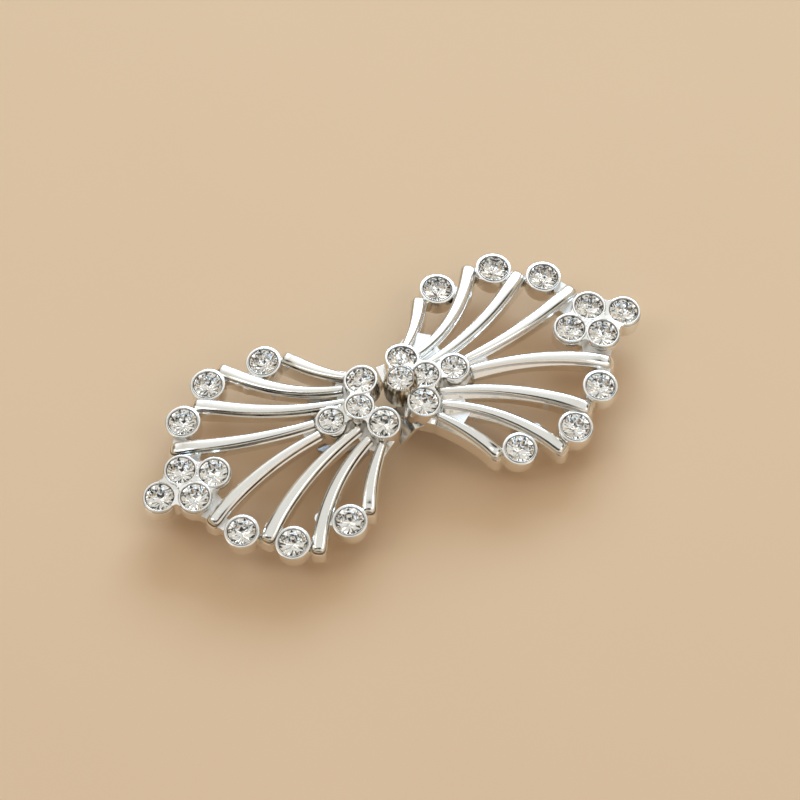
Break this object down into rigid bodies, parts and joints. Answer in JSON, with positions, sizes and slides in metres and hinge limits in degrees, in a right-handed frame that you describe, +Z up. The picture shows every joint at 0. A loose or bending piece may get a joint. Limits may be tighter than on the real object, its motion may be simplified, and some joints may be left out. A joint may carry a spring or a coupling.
{
  "type": "cardigan clip",
  "caption": "Two-piece cardigan clip: two open fans of curved ribs set with round stones, hooked at the middle, with a folded spring grip under each fan.",
  "frame": {"origin": "on the surface the clip lies on, under the centre of its box, in the middle of the closure", "axes": "+X along the clip towards the right fan, +Y across it, +Z up out of the stones"},
  "size_m": [0.0622, 0.0278, 0.0103],
  "materials": {
    "silver_plate": "bright silver plate over a tumbled zinc casting",
    "spring_steel": "plated spring steel strip",
    "stone_glass": "clear cut glass with a mirror-foiled back"
  },
  "bodies": {
    "root": {"left_fan": "silver_plate", "right_fan": "silver_plate", "left_grip": "spring_steel", "right_grip": "spring_steel", "left_rim_stone_1": "stone_glass", "left_rim_stone_2": "stone_glass", "left_rim_stone_3": "stone_glass", "left_rim_stone_4": "stone_glass", "left_rim_stone_5": "stone_glass", "left_rim_stone_6": "stone_glass", "left_tip_stone_1": "stone_glass", "left_tip_stone_2": "stone_glass", "left_tip_stone_3": "stone_glass", "left_tip_stone_4": "stone_glass", "left_hub_stone_1": "stone_glass", "left_hub_stone_2": "stone_glass", "left_hub_stone_3": "stone_glass", "left_hub_stone_4": "stone_glass", "right_rim_stone_1": "stone_glass", "right_rim_stone_2": "stone_glass", "right_rim_stone_3": "stone_glass", "right_rim_stone_4": "stone_glass", "right_rim_stone_5": "stone_glass", "right_rim_stone_6": "stone_glass", "right_tip_stone_1": "stone_glass", "right_tip_stone_2": "stone_glass", "right_tip_stone_3": "stone_glass", "right_tip_stone_4": "stone_glass", "right_hub_stone_1": "stone_glass", "right_hub_stone_2": "stone_glass", "right_hub_stone_3": "stone_glass", "right_hub_stone_4": "stone_glass", "right_hub_stone_5": "stone_glass"}
  },
  "joints": []
}
